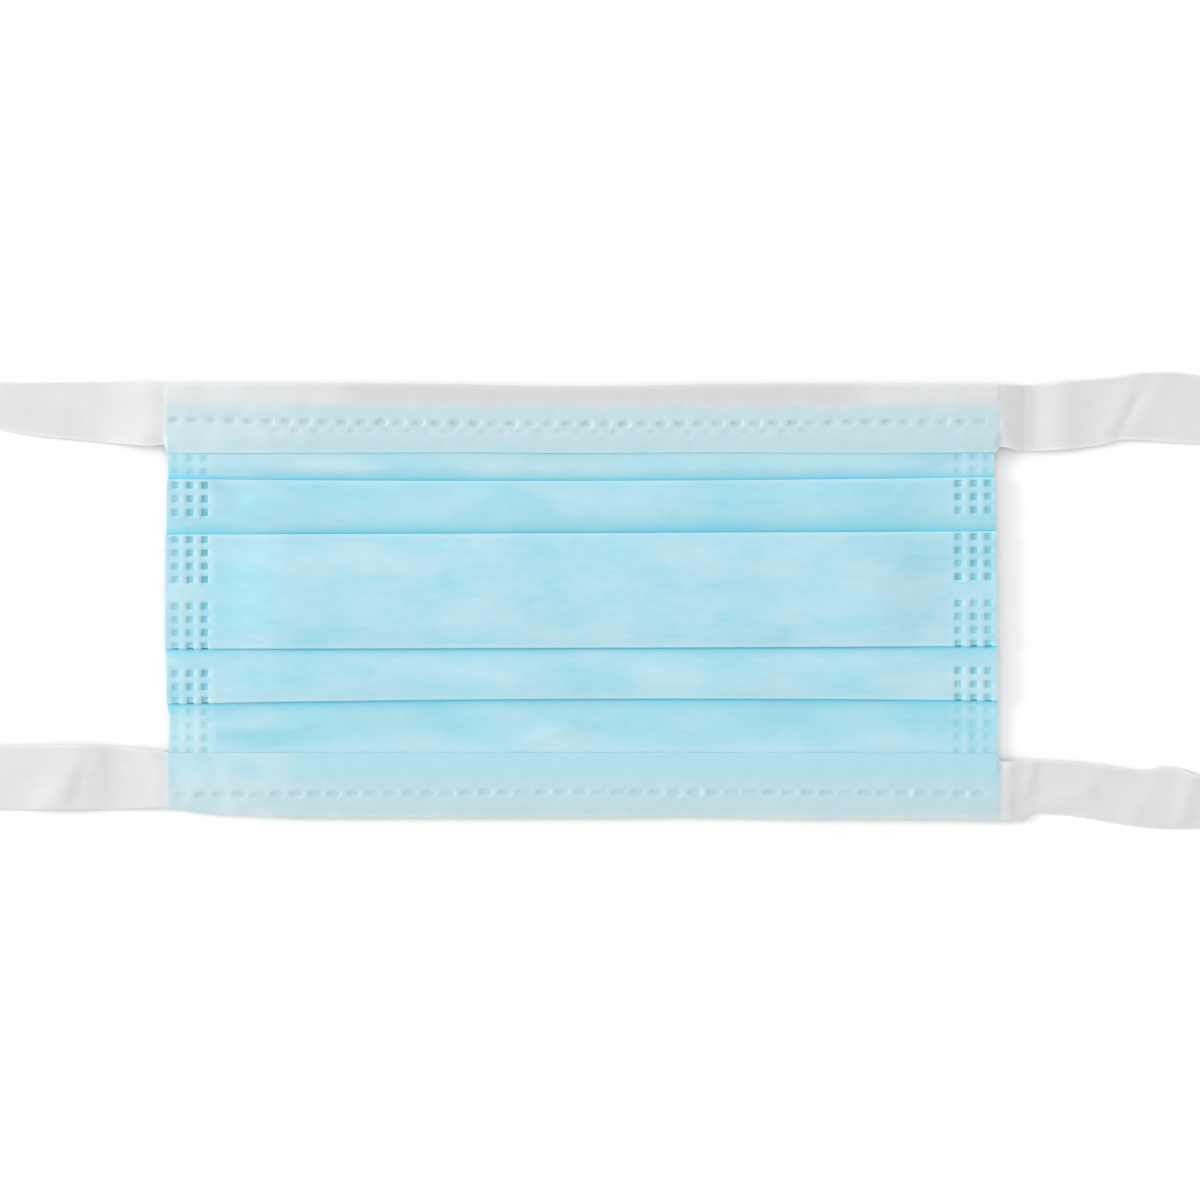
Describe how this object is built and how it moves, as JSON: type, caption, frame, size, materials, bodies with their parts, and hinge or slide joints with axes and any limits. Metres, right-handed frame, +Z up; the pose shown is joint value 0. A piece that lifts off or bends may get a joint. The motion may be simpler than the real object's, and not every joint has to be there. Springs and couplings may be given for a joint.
{
  "type": "surgical face mask",
  "caption": "Flat pleated tie-on face mask: a blue filter panel with four sideways pleat folds, bound at both long edges by white nonwoven strips that run on as ties.",
  "frame": {"origin": "centre of the whole mask's outline, ties included, on the surface that it lies on", "axes": "+X along the long edges and the ties, +Y towards the nose edge, +Z up through the outer blue side"},
  "size_m": [0.259, 0.096, 0.0045],
  "materials": {
    "blue_nonwoven": "matte spunbond nonwoven",
    "white_nonwoven": "thin translucent spunbond nonwoven",
    "wire_strip": "plastic-covered flat wire"
  },
  "bodies": {
    "root": {"pleated_panel": "blue_nonwoven", "nose_tie_band": "white_nonwoven", "chin_tie_band": "white_nonwoven", "nose_wire": "wire_strip"}
  },
  "joints": []
}
